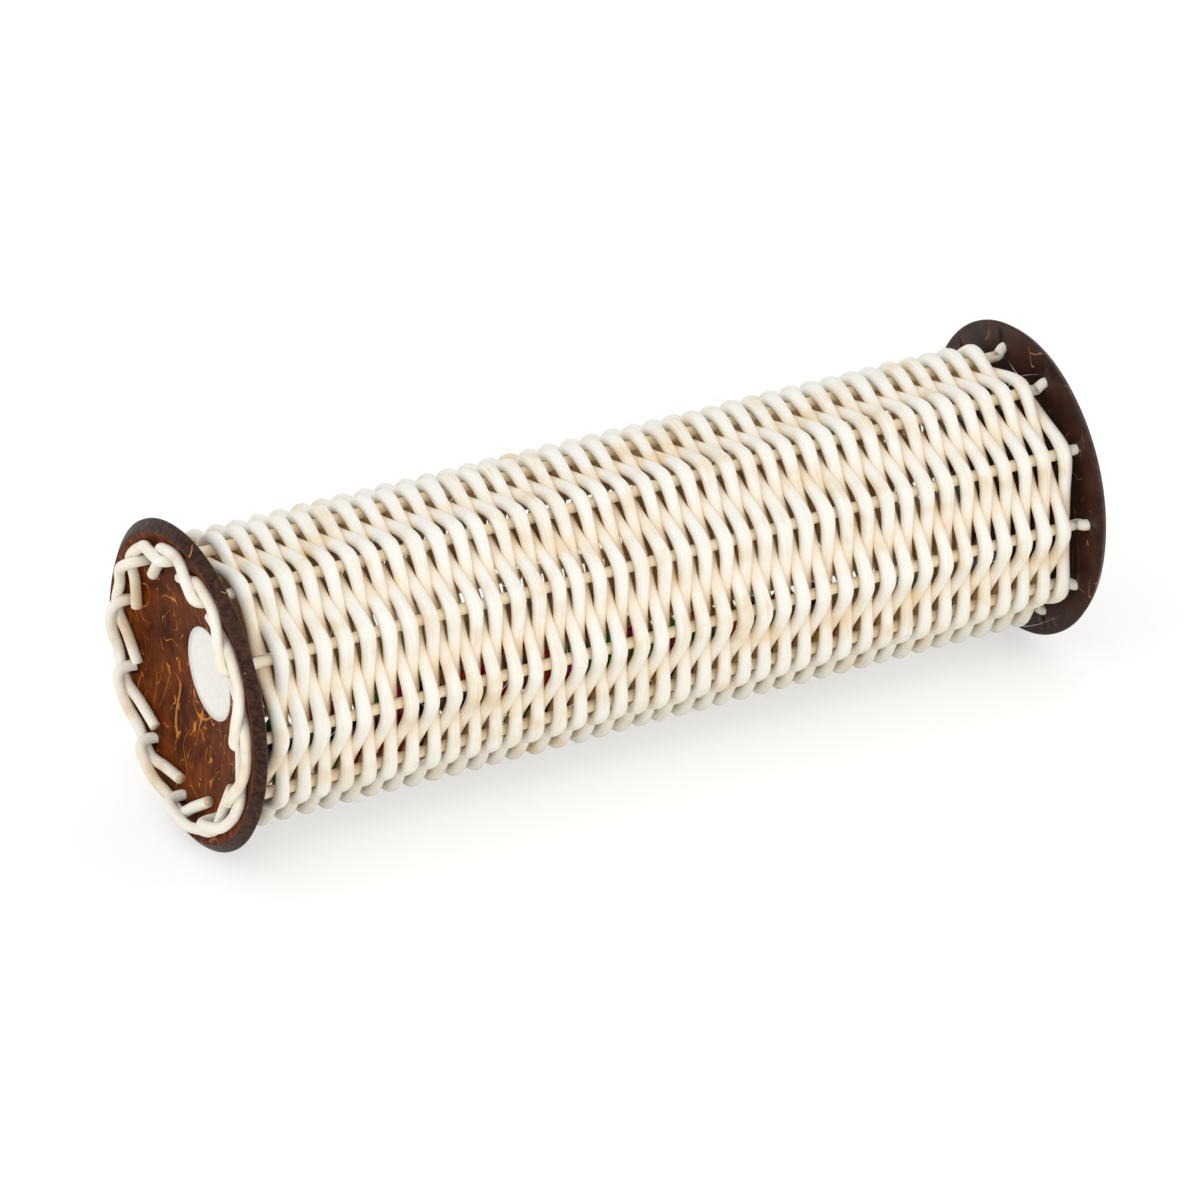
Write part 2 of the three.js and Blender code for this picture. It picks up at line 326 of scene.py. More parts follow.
def shell_material(name, dark, brown, streak, streaks, specks, grain, roughness, specular):
    """Sanded coconut shell: mottled brown, drawn out by its grain, with pale fibre streaks and specks.

    Each of streaks is scale, width, keep and seed, and each of specks is scale, size and keep.
    """
    material, nodes, links, shader = new_material(name)
    vector = object_place(nodes)
    drawn_out = add_node(nodes, "ShaderNodeMapping", Scale=grain)
    links.new(vector, drawn_out.inputs["Vector"])
    mottle = noise(nodes, links, drawn_out.outputs["Vector"], Scale=130.0, Detail=6.0, Roughness=0.65)
    colour = ramp(nodes, links, mottle, list(zip(MOTTLE_RANGE, (dark, brown))))
    masks = [streak_mask(nodes, links, vector, *values) for values in streaks]
    masks += [speck_mask(nodes, links, vector, *values) for values in specks]
    for mask in masks:
        mix = add_node(nodes, "ShaderNodeMix", data_type="RGBA")
        links.new(mask, mix.inputs["Factor"])
        links.new(colour, mix.inputs["A"])
        mix.inputs["B"].default_value = (*streak, 1)
        colour = mix.outputs["Result"]
    links.new(colour, shader.inputs["Base Color"])
    scratches = noise(nodes, links, vector, Scale=900.0, Detail=3.0)
    add_bump(nodes, links, shader, scratches, strength=0.2, depth=0.15 * MM)
    set_sockets(shader, {"Roughness": roughness, "Specular IOR Level": specular})
    return material


def bead_material(slot):
    """Glossy moulded plastic in one of the record's bead colours."""
    finish = next(m for m in frame["record"]["materials"] if m["slot"] == slot)
    material, nodes, links, shader = new_material(slot)
    cloud = noise(nodes, links, object_place(nodes), Scale=400.0, Detail=2.0)
    colour = np.array(finish["base_color"][:3])
    tones = [tuple(np.minimum(colour * tone, 1)) for tone in BEAD_TONES]
    links.new(ramp(nodes, links, cloud, list(zip((0.3, 0.7), tones))), shader.inputs["Base Color"])
    set_sockets(shader, {"Roughness": 0.22, "Coat Weight": 0.4})
    return material


def label_material():
    """Plain white paper."""
    material, nodes, links, shader = new_material("blank_paper")
    pulp = noise(nodes, links, object_place(nodes), Scale=700.0, Detail=3.0)
    stops = [(0.3, (0.86, 0.86, 0.85)), (0.7, (0.92, 0.92, 0.91))]
    links.new(ramp(nodes, links, pulp, stops), shader.inputs["Base Color"])
    set_sockets(shader, {"Roughness": 0.5})
    return material


REED = reed_material(
    "rattan_weaver",
    light=(0.89, 0.885, 0.84),
    tan=(0.80, 0.67, 0.47),
    tan_share=0.12,
    # inside and reach paint shade: below 36.8 mm from the axis the reed turns a warm tan, standing in for
    # the shade deep in the weave and in its gaps
    inside=(0.96, 0.68, 0.36),
    measured=(0, 1, 1),
    reach=(31.5 * MM, 36.8 * MM),
)
STAKE_REED = reed_material(
    "rattan_stake",
    light=(0.90, 0.88, 0.81),
    tan=(0.74, 0.57, 0.36),
    tan_share=0.13,
    # inside and reach paint shade: the stakes turn tan along the weave, where they lie in its shade, and
    # stay pale only on the discs
    inside=(0.97, 0.80, 0.56),
    measured=(1, 0, 0),
    reach=(DISC_RIM - 10 * MM, DISC_RIM - 1 * MM),
)
REED_CUT = cut_material()
SHELL_FACE = shell_material(
    "shell_outer_face",
    dark=(0.052, 0.010, 0.002),
    brown=(0.165, 0.038, 0.006),
    streak=(0.64, 0.23, 0.035),
    streaks=[
        (70.0, 0.004, 0.50, 0.1),
        (110.0, 0.006, 0.52, 0.7),
        (190.0, 0.011, 0.54, 1.9),
        (300.0, 0.022, 0.58, 3.3),
    ],
    specks=[],
    grain=(1.0, 1.0, 0.7),
    roughness=0.5,
    specular=0.05,
)
SHELL_INSIDE = shell_material(
    "shell_inner_face",
    dark=(0.022, 0.007, 0.004),
    brown=(0.056, 0.019, 0.011),
    streak=(0.42, 0.20, 0.10),
    streaks=[(90.0, 0.008, 0.57, 1.3), (160.0, 0.016, 0.58, 4.2)],
    specks=[(330.0, 0.11, 0.78), (560.0, 0.13, 0.84)],
    grain=(1.0, 1.0, 1.0),
    roughness=0.42,
    specular=0.14,
)
SHELL_RIM = shell_material(
    "shell_rim",
    dark=(0.017, 0.007, 0.005),
    brown=(0.070, 0.030, 0.019),
    streak=(0.50, 0.22, 0.08),
    streaks=[(110.0, 0.010, 0.56, 2.1)],
    specks=[(420.0, 0.13, 0.90)],
    grain=(0.15, 6.0, 6.0),
    roughness=0.45,
    specular=0.1,
)


# Meshes


def mesh_piece(name, vertices, faces, materials, face_materials=None, uv=None):
    """A smooth-shaded mesh object; uv holds one pair for each vertex."""
    mesh = bpy.data.meshes.new(name)
    mesh.from_pydata(np.asarray(vertices).tolist(), [], faces)
    for material in materials:
        mesh.materials.append(material)
    mesh.polygons.foreach_set("use_smooth", [True] * len(mesh.polygons))
    if face_materials is not None:
        mesh.polygons.foreach_set("material_index", face_materials)
    if uv is not None:
        corners = np.empty(len(mesh.loops), dtype=np.int32)
        mesh.loops.foreach_get("vertex_index", corners)
        layer = mesh.uv_layers.new(name=REED_UV)
        layer.data.foreach_set("uv", np.asarray(uv)[corners].astype(np.float32).ravel())
    mesh.update()
    piece = bpy.data.objects.new(name, mesh)
    bpy.context.scene.collection.objects.link(piece)
    return piece


def circle_steps(count):
    """Angles of a full turn in even steps."""
    return np.linspace(0, FULL_TURN, count, endpoint=False)


def reed_rings(path, across, out, half_width, half_depth, sides):
    """Rings of points round a path, each an ellipse in the plane of across and out."""
    turn = circle_steps(sides)
    wide = np.broadcast_to(np.asarray(half_width), len(path))[:, None, None]
    deep = np.broadcast_to(np.asarray(half_depth), len(path))[:, None, None]
    ring = wide * np.cos(turn)[None, :, None] * across[:, None, :]
    ring = ring + deep * np.sin(turn)[None, :, None] * out[:, None, :]
    return path[:, None, :] + ring


def skin_faces(rings, sides):
    """Quads between rings, and a face on each end."""
    faces = []
    for ring in range(rings - 1):
        for side in range(sides):
            here = ring * sides + side
            following = ring * sides + (side + 1) % sides
            faces.append((here, following, following + sides, here + sides))
    last = (rings - 1) * sides
    caps = [tuple(reversed(range(sides))), tuple(range(last, last + sides))]
    return faces, caps


def shifted_faces(faces, offset):
    """The same faces, for vertices that start further on in a list."""
    return [tuple(corner + offset for corner in face) for face in faces]


def reed_piece(name, path, across, out, half_width, half_depth, sides, material):
    """One length of reed, with its grain along it and a sawn face on each end."""
    rings = reed_rings(path, across, out, half_width, half_depth, sides)
    faces, caps = skin_faces(len(path), sides)
    run = np.concatenate([[0], np.cumsum(np.linalg.norm(np.diff(path, axis=0), axis=1))])
    start = rng.uniform(0, 10)
    u = np.repeat(start + run, sides)
    v = np.tile(np.abs(np.linspace(-1, 1, sides, endpoint=False)), len(path))
    face_materials = [0] * len(faces) + [1] * len(caps)
    uv = np.stack([u, v], axis=1)
    return mesh_piece(name, rings.reshape(-1, 3), faces + caps, [material, REED_CUT], face_materials, uv)


def hermite(knots, leave, arrive, samples):
    """A smooth path through the knots; each stretch has a pull where it leaves and where it arrives."""
    t = np.linspace(0, 1, samples, endpoint=False)[None, :, None]
    start, end = knots[:-1, None, :], knots[1:, None, :]
    path = (2 * t**3 - 3 * t**2 + 1) * start + (t**3 - 2 * t**2 + t) * leave[:, None, :]
    path = path + (3 * t**2 - 2 * t**3) * end + (t**3 - t**2) * arrive[:, None, :]
    return np.concatenate([path.reshape(-1, 3), knots[-1:]])


def steady_frame(path):
    """Two directions across a path that turn with it as little as they can."""
    way = tangents(path)
    across = np.empty_like(path)
    across[0] = unit(np.cross(way[0], [0.0, 0.0, 1.0]))
    for i in range(1, len(path)):
        across[i] = unit(across[i - 1] - way[i] * (across[i - 1] @ way[i]))
    return across, np.cross(way, across)


# Weavers: the round reed that the solids stand for

REED_RADIUS = 1.62 * MM
REED_PRESS = 0.1 * MM
CROSSING_WIDTH = 1.33  # shares of the radius where a reed is pressed on a stake, and midway between two
WAIST_WIDTH = 1.06
CROSSING_DEPTH = 1.1
WAIST_DEPTH = 1.04
SLOW_GIRTH = 0.04  # how much the girth swells, and how fast along the crossings
SLOW_GIRTH_RATE = 0.31
QUICK_GIRTH = 0.03
QUICK_GIRTH_RATE = 1.13
CROSSING_SAMPLES = 12
REED_SIDES = 12
WEAVE_ENDS = {LEFT: inner_face(LEFT, WEAVE_INSIDE) - DISH_MARGIN, RIGHT: DISC_RIM - FLAT_MARGIN}
FIRST_ROW = -WEAVE_ENDS[LEFT] + SOLID_REED_WIDTH / 2
LAST_ROW = WEAVE_ENDS[RIGHT] - SOLID_REED_WIDTH / 2
CROSSING_STEP = ROW_PITCH / STAKE_COUNT
CROSSINGS = math.floor((LAST_ROW - FIRST_ROW) / CROSSING_STEP)
WEAVE_OFFSET = STAKE_RADIUS + REED_RADIUS - REED_PRESS
KNEE_PULL = 13 * MM
UNDER_PULL = 18 * MM
OVER_WANDER = 0.22 * MM
UNDER_WANDER = 0.08 * MM
LIFT_WANDER = 0.06 * MM
ROW_WANDER = 0.45 * MM
DRIFT_LENGTHS = (7 * MM, 11 * MM)
DRIFT_SHIFT = 1.7
DRIFT_FADE = 20 * MM


def splice(weaver):
    """The crossing at which a weaver takes over from the one before."""
    return 2 * math.floor(CROSSINGS * weaver / (2 * WEAVER_COUNT))


def row_drift(x, angle):
    """A slow sideways drift that neighbouring rows share."""
    wave = np.sin(x / DRIFT_LENGTHS[0] + 2 * angle) + np.sin(x / DRIFT_LENGTHS[1] - angle + DRIFT_SHIFT)
    inwards = np.clip(np.minimum(x - FIRST_ROW, LAST_ROW - x) / DRIFT_FADE, 0, 1)
    return ROW_WANDER * wave / 2 * inwards


def weaver_knots(crossings):
    """Where the reed crosses each stake, and the way it runs there."""
    over = crossings % 2 == 1
    x = FIRST_ROW + crossings * CROSSING_STEP
    angle = stake_angle(FIRST_CROSSED_STAKE + crossings, x)
    wander = rng.normal(0, 1, len(crossings)) * np.where(over, OVER_WANDER, UNDER_WANDER)
    lift = rng.normal(0, LIFT_WANDER, len(crossings))
    radius = STAKE_CIRCLE + np.where(over, WEAVE_OFFSET, -WEAVE_OFFSET) + lift
    knots = around(x + row_drift(x, angle) + wander, radius, angle)
    along = np.stack([np.zeros_like(angle), np.sin(angle), np.cos(angle)], axis=1)
    pull = np.where(over, KNEE_PULL, UNDER_PULL)
    return knots, along * pull[:, None]


def make_weaver(index):
    """One length of reed, wide where it is pressed on a stake and rounder between the stakes."""
    crossings = np.arange(splice(index), splice(index + 1) + 1)
    knots, pulls = weaver_knots(crossings)
    path = hermite(knots, pulls[:-1], pulls[1:], CROSSING_SAMPLES)
    phase = np.linspace(crossings[0], crossings[-1], len(path))
    way = tangents(path)
    along_tube = np.array([1.0, 0.0, 0.0])
    across = unit(along_tube - way * (way @ along_tube)[:, None])
    out = np.cross(across, way)
    between = np.sin(math.pi * phase) ** 2
    slow = SLOW_GIRTH * np.sin(phase * SLOW_GIRTH_RATE + index)
    girth = REED_RADIUS * (1 + slow + QUICK_GIRTH * np.sin(phase * QUICK_GIRTH_RATE))
    half_width = girth * (CROSSING_WIDTH - (CROSSING_WIDTH - WAIST_WIDTH) * between)
    half_depth = girth * (CROSSING_DEPTH - (CROSSING_DEPTH - WAIST_DEPTH) * between)
    name = f"reed_weaver_{index + 1:02d}"
    piece = reed_piece(name, path, across, out, half_width, half_depth, REED_SIDES, REED)
    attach(piece, "tube")
    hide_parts(f"weaver_{index + 1:02d}")


# Stakes

STAKE_SIDES = 16
BORDER_CLEARANCE = 0.3 * MM
PRESSED_CLEARANCE = 0.05 * MM
OVER_NEIGHBOUR = 1.7 * STAKE_RADIUS
OVER_HOLE = 1.4 * STAKE_RADIUS
COMING_DOWN = 0.8 * STAKE_RADIUS
DRAWN_IN = 0.8 * MM  # how much closer to the middle the border runs at the back
DRAWN_IN_HALF_WIDTH = math.radians(100)
TAIL_INSET = 4.5 * MM
FLARE_START = 0.6 * MM
BORDER_SAMPLES = 10
RUN_SAMPLES = 80
SWAY = 0.25 * MM
SWAY_RATE = 9
SWAY_SHIFT = 1.9
STAKE_GIRTH = 0.03
STAKE_GIRTH_RATE = 0.21


def stake_end(end, stake):
    """The end of a stake, routed as in the part: into the border on the left, laid flat on the right."""
    angle = stake_angle(stake, end * DISC_RIM)
    hole = HOLE_CIRCLES[end]
    lying = STAKE_RADIUS + PRESSED_CLEARANCE
    outside = hole + BORDER_SPREAD - DRAWN_IN * bulge(angle, math.pi, DRAWN_IN_HALF_WIDTH)
    inside = hole - TAIL_INSET
    weave_end = WEAVE_ENDS[end] + FLARE_START
    points = [(0, STAKE_CIRCLE, weave_end)]
    if end == RIGHT:
        points.append((0, hole, weave_end + hole - STAKE_CIRCLE))
    # Reach in stake steps, radius, and height over the disc's face
    border = [
        (0, hole, lying + OVER_HOLE),
        (0.25, (hole + outside) / 2, lying + OVER_NEIGHBOUR),
        (0.5, outside, lying + COMING_DOWN),
        (0.75, outside, lying),
        (1, outside, lying),
        (1.2, outside - 2 * BORDER_CLEARANCE, lying),
        (1.45, hole - STAKE_RADIUS, lying),
        (1.9, inside, lying),
    ]
    laid_flat = [
        (0, hole, 0),
        (0.07, hole, lying),
        (0.8, inside, lying),
    ]
    bent = border if end == LEFT else laid_flat
    points += [(reach, radius, outer_face(end, radius) + height) for reach, radius, height in bent]
    reach, radius, x = np.array(points).T
    way = angle - end * reach * STAKE_STEP
    on_face = slice(len(points) - len(bent), None)
    radius[on_face], x[on_face] = sanded(end, radius[on_face], x[on_face], way[on_face])
    return around(end * x, radius, way)


def rounded(points, samples):
    """A smooth curve through the points that doesn't swing past them."""
    heading = tangents(points)
    stretch = np.linalg.norm(np.diff(points, axis=0), axis=1, keepdims=True)
    return hermite(points, heading[:-1] * stretch, heading[1:] * stretch, samples)


def make_stake(index):
    """A lengthwise reed with both its bent ends, swaying a little between the discs."""
    angle = stake_angle(index, 0)
    left = rounded(stake_end(LEFT, index), BORDER_SAMPLES)[::-1]
    right = rounded(stake_end(RIGHT, index), BORDER_SAMPLES)
    share = np.linspace(0, 1, RUN_SAMPLES)[1:-1]
    run = left[-1] + (right[0] - left[-1]) * share[:, None]
    sway = np.sin(share * math.pi) * np.sin(share * SWAY_RATE + index * SWAY_SHIFT) * SWAY
    run = run + sway[:, None] * np.array([0, math.sin(angle), math.cos(angle)])
    path = np.concatenate([left, run, right])
    across, out = steady_frame(path)
    girth = STAKE_RADIUS * (1 + STAKE_GIRTH * np.sin(np.arange(len(path)) * STAKE_GIRTH_RATE + index))
    name = f"reed_stake_{index + 1:02d}"
    piece = reed_piece(name, path, across, out, girth, girth, STAKE_SIDES, STAKE_REED)
    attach(piece, "tube")
    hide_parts(f"stake_{index + 1:02d}")


# End discs

DISC_SEGMENTS = 220
FACE_RINGS = 9
FIRST_RING = 0.1
FACE_MARGIN = 0.4 * MM
FACE_DROP = 0.05 * MM
SHOULDER_STEP = 0.45 * MM
SHOULDER_DROP = 0.35 * MM
EDGE_ROUND = 0.3 * MM
LAND_RISE = 0.15 * MM
LAND_DROP = 0.2 * MM
LAND_THINNING = 0.3
INNER_MARGIN = 0.8 * MM
UNEVEN_WAVES = ((0.0016, 3, 1), (0.0009, 7, 2))  # share of the radius, waves in a turn, shift
FACE_SLOT, RIM_SLOT, INSIDE_SLOT = range(3)
RIM_BAND = 0.2 * MM
RIM_FACING = 0.3
INSIDE_FACING = -0.5
HOLE_CLEARANCE = 0.3 * MM
HOLE_SIDES = 24
HOLE_REACH = 12 * MM


def disc_profile(end):
    """A disc's section, from the outer face's middle to the inner one's.

    Each point is its radius, its place along the tube and its share of the wear's depth.
    """
    face_radius = FACE_RADII[end]
    edge = outer_face(end, face_radius)
    spread = np.linspace(FIRST_RING, 1, FACE_RINGS)
    outer = [(r, outer_face(end, r), 1) for r in spread * (face_radius - FACE_MARGIN)]
    rim = [
        (face_radius, edge - FACE_DROP, 1),
        (face_radius + SHOULDER_STEP, edge - SHOULDER_DROP, 1),
        (DISC_RADIUS - EDGE_ROUND, DISC_RIM + RIM_LAND + LAND_RISE, LAND_THINNING),
        (DISC_RADIUS, DISC_RIM + RIM_LAND - LAND_DROP, LAND_THINNING),
        (DISC_RADIUS, DISC_RIM + EDGE_ROUND, 0),
        (DISC_RADIUS - EDGE_ROUND, DISC_RIM, 0),
    ]
    inner = [(r, inner_face(end, r), 0) for r in spread[::-1] * (DISC_RADIUS - INNER_MARGIN)]
    return outer + rim + inner


def make_disc(name, end):
    """A hand-sanded round of shell, drilled for the stakes."""
    profile = disc_profile(end)
    turn = circle_steps(DISC_SEGMENTS)
    uneven = np.ones(DISC_SEGMENTS)
    for share, waves, shift in UNEVEN_WAVES:
        uneven = uneven - share * (1 + np.sin(waves * turn + shift * end))
    rings = []
    for radius, x, thinning in profile:
        ring_radius = radius * (1 + (uneven - 1) * radius / DISC_RADIUS)
        ring_radius, ring_x = sanded(end, ring_radius, x, end * turn, thinning)
        rings.append(around(end * ring_x, ring_radius, end * turn))
    middles = [around(end * face(end, 0), 0, np.zeros(1)) for face in (outer_face, inner_face)]
    vertices = np.concatenate(rings + middles)
    faces = []
    for ring in range(len(profile) - 1):
        for side in range(DISC_SEGMENTS):
            here = ring * DISC_SEGMENTS + side
            following = ring * DISC_SEGMENTS + (side + 1) % DISC_SEGMENTS
            faces.append((here, here + DISC_SEGMENTS, following + DISC_SEGMENTS, following))
    last = (len(profile) - 1) * DISC_SEGMENTS
    for side in range(DISC_SEGMENTS):
        following = (side + 1) % DISC_SEGMENTS
        faces.append((side, following, len(vertices) - 2))
        faces.append((last + following, last + side, len(vertices) - 1))
    piece = mesh_piece(name, vertices, faces, [SHELL_FACE, SHELL_RIM, SHELL_INSIDE])
    drill(piece, end)
    for polygon in piece.data.polygons:
        facing = polygon.normal.x * end
        radius = math.hypot(polygon.center.y, polygon.center.z - AXIS_Z)
        on_rim = radius > FACE_RADII[end] - RIM_BAND or abs(facing) < RIM_FACING
        polygon.material_index = RIM_SLOT if on_rim else FACE_SLOT
        if facing < INSIDE_FACING:
            polygon.material_index = INSIDE_SLOT
    return piece


def drill(piece, end):
    """Cuts the stakes' holes through a disc."""
    radius = STAKE_RADIUS + HOLE_CLEARANCE
    centre = TUBE_MIDDLE + end * DISC_RIM
    turn = circle_steps(HOLE_SIDES)
    sides, caps = skin_faces(2, HOLE_SIDES)
    vertices = []
    faces = []
    for stake in range(STAKE_COUNT):
        _, y, z = around(0, HOLE_CIRCLES[end], stake_angle(stake, end * DISC_RIM))
        faces += shifted_faces(sides + caps, len(vertices) * HOLE_SIDES)
        for x in (centre - HOLE_REACH, centre + HOLE_REACH):
            circle = [np.full(HOLE_SIDES, x), y + radius * np.cos(turn), z + radius * np.sin(turn)]
            vertices.append(np.stack(circle, axis=1))
    bits = mesh_piece("drill_bits", np.concatenate(vertices), faces, [SHELL_RIM])
    cut = piece.modifiers.new("holes", "BOOLEAN")
    cut.operation = "DIFFERENCE"
    cut.solver = "EXACT"
    cut.object = bits
    bpy.context.view_layer.update()
    evaluated = piece.evaluated_get(bpy.context.evaluated_depsgraph_get())
    drilled = bpy.data.meshes.new_from_object(evaluated)
    piece.modifiers.clear()
    piece.data = drilled
    bpy.data.objects.remove(bits)


def make_discs():
    for side, end in (("left", LEFT), ("right", RIGHT)):
        piece = make_disc(f"coconut_disc_{side}", end)
        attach(piece, "tube")
        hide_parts(f"end_disc_{side}")


# Blank label on the left disc

LABEL_RADIUS = 12.6 * MM
LABEL_PLACE = (-3.3 * MM, 3.9 * MM)  # off the disc's middle, to the front and up
LABEL_BACK = 0.02 * MM
LABEL_FRONT = 0.15 * MM
LABEL_SIDES = 96
LABEL_RINGS = 6


def make_label():
    """A round of paper that follows the dish."""
    turn = circle_steps(LABEL_SIDES)
    spread = np.linspace(FIRST_RING, 1, LABEL_RINGS) * LABEL_RADIUS
    layers = [(radius, LABEL_BACK) for radius in spread]
    layers += [(radius, LABEL_FRONT) for radius in spread[::-1]]
    rings = []
    for radius, height in layers:
        y = LABEL_PLACE[0] - radius * np.cos(turn)
        z = LABEL_PLACE[1] + radius * np.sin(turn)
        x = TUBE_MIDDLE - outer_face(LEFT, np.hypot(y, z)) - height
        rings.append(np.stack([x, y, AXIS_Z + z], axis=1))
    faces, caps = skin_faces(len(rings), LABEL_SIDES)
    piece = mesh_piece("blank_label", np.concatenate(rings), faces + caps, [label_material()])
    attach(piece, "tube")


# Beads

BEAD_RADIUS = 3.5 * MM
BEAD_LENGTH = 0.97  # share of the diameter along the bore
BEAD_BORE = 0.8 * MM
LIP_ROUND = 0.08
LIP_DEPTH = 0.1 * MM
BEAD_SIDES = 20
BEAD_STEPS = 12
BEAD_SIZES = (0.93, 0.99)
COMPANION_PITCH = 9 * MM
COMPANION_WANDER = 0.3 * MM
COMPANIONS = (0, -2, -1, 1, 2)
BED_START = TUBE_MIDDLE - 109 * MM
BEAD_SLOTS = [m["slot"] for m in frame["record"]["materials"] if m["slot"].startswith("bead_")]
BEAD_MATERIALS = [bead_material(slot) for slot in BEAD_SLOTS]
SLOT_OF_NODE = {s["node"]: s["material_slot"] for s in frame["record"]["subparts"]}


def bead_shape():
    """A round bead with a threading hole and softened lips, about its own X axis."""
    lip = math.asin(BEAD_BORE / BEAD_RADIUS) + LIP_ROUND
    sweep = np.linspace(lip, math.pi - lip, BEAD_STEPS)
    profile = [(-math.cos(a) * BEAD_RADIUS * BEAD_LENGTH, math.sin(a) * BEAD_RADIUS) for a in sweep]
    reach = profile[-1][0]
    profile += [(reach - LIP_DEPTH, BEAD_BORE), (0, BEAD_BORE), (LIP_DEPTH - reach, BEAD_BORE)]
    turn = circle_steps(BEAD_SIDES)
    rings = []
    for x, radius in profile:
        circle = [np.full(BEAD_SIDES, x), radius * np.cos(turn), radius * np.sin(turn)]
        rings.append(np.stack(circle, axis=1))
    faces = []
    for ring in range(len(rings)):
        next_ring = (ring + 1) % len(rings)
        for side in range(BEAD_SIDES):
            following = (side + 1) % BEAD_SIDES
            faces.append((
                ring * BEAD_SIDES + side,
                next_ring * BEAD_SIDES + side,
                next_ring * BEAD_SIDES + following,
                ring * BEAD_SIDES + following,
            ))
    return np.concatenate(rings), faces


def random_turn():
    """A rotation matrix with no preferred way."""
    q, _ = np.linalg.qr(rng.normal(size=(3, 3)))
    return q * np.sign(np.linalg.det(q))


def make_bead_row(node, body):
    """A solid bead's smooth form, with the loose beads that lie beside it and fly with it."""
    low, high = (np.array(corner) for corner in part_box(node))
    middle = (low + high) / 2
    own = BEAD_SLOTS.index(SLOT_OF_NODE[node])
    shape, shape_faces = bead_shape()
    vertices = []
    faces = []
    face_materials = []
    for place in COMPANIONS:
        shift = np.zeros(3)
        if place:
            shift[0] = place * COMPANION_PITCH + rng.normal(0, COMPANION_WANDER)
        if place and middle[0] + shift[0] < BED_START:
            continue
        colour = own if place == 0 else int(rng.integers(len(BEAD_SLOTS)))
        size = rng.uniform(*BEAD_SIZES)
        faces += shifted_faces(shape_faces, len(vertices) * len(shape))
        vertices.append(shape @ random_turn().T * size + middle + shift)
        face_materials += [colour] * len(shape_faces)
    name = node.replace("bead", "bead_row")
    piece = mesh_piece(name, np.concatenate(vertices), faces, BEAD_MATERIALS, face_materials)
    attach(piece, body)
    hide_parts(node)


# Loose fibres

FIBRE_COUNT = 260
FIBRE_SIDES = 4
FIBRE_STEPS = 8
FIBRE_LENGTHS = (3 * MM, 11 * MM)
FIBRE_GIRTH = 0.07 * MM
FIBRE_TAPER = 1.1
FIBRE_ROOT = STAKE_CIRCLE + WEAVE_OFFSET + REED_RADIUS * 0.9
ROOT_WANDER = 0.5 * MM
ROOT_TURN = 0.12
HEADING_SPREAD = 0.9
BOW_SPREAD = 0.5
LIFTS = (0.05, 0.28)
LIFT_CURL = 1.25


def make_fibres():
    """Fine hairs of rattan that stand off the weave."""
    sides, caps = skin_faces(FIBRE_STEPS, FIBRE_SIDES)
    t = np.linspace(0, 1, FIBRE_STEPS)
    girth = FIBRE_GIRTH * (FIBRE_TAPER - t)
    vertices = []
    faces = []
    for _ in range(FIBRE_COUNT):
        crossing = 2 * int(rng.integers(1, CROSSINGS // 2 - 1)) + 1
        x = FIRST_ROW + crossing * CROSSING_STEP + rng.normal(0, ROOT_WANDER)
        angle = stake_angle(FIRST_CROSSED_STAKE + crossing, x) + rng.normal(0, ROOT_TURN)
        length = rng.uniform(*FIBRE_LENGTHS)
        heading = rng.normal(0, HEADING_SPREAD)
        bow = rng.normal(0, BOW_SPREAD)
        along = length * t * math.cos(heading) + bow * length * t**2 * math.sin(heading)
        sideways = length * t * math.sin(heading) - bow * length * t**2 * math.cos(heading)
        lift = rng.uniform(*LIFTS) * length * t * (LIFT_CURL - t)
        path = around(x + sideways, FIBRE_ROOT + lift, angle + along / FIBRE_ROOT)
        across, out = steady_frame(path)
        rings = reed_rings(path, across, out, girth, girth, FIBRE_SIDES)
        faces += shifted_faces(sides + caps, len(vertices) * FIBRE_STEPS * FIBRE_SIDES)
        vertices.append(rings.reshape(-1, 3))
    points = np.concatenate(vertices)
    piece = mesh_piece("loose_fibres", points, faces, [REED], uv=points[:, :2])
    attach(piece, "tube")


# Floor, light and camera

FLOOR_HALF = 6.0
FLOOR_COLOUR = (0.95, 0.91, 0.84, 1)
SEEN_COLOUR = (0.5, 0.5, 0.5, 1)
SEEN_GLOW = 0.58
WORLD_COLOUR = (1, 0.99, 0.965, 1)
WORLD_STRENGTH = 0.88
WHITE = (1, 1, 1, 1)

# Name, place, size and power
LAMPS = [
    ("key", (-1.0, -1.2, 1.4), 1.1, 2),
    ("left", (-1.7, -0.3, 0.8), 1.0, 3.5),
    ("fill", (1.4, -1.0, 0.9), 1.4, 2),
    ("front", (-0.3, -1.9, 0.3), 1.6, 7.5),
]

# The camera, fitted to the photograph
PHOTO_PIXELS = 1200
CAMERA_AZIMUTH = math.radians(29.52)
CAMERA_ELEVATION = math.radians(26.53)
CAMERA_DISTANCE = 1.9328
FOCAL_PIXELS = 7306
OPTICAL_AXIS_PIXEL = (613.3, 578.9)
SENSOR_MM = 36


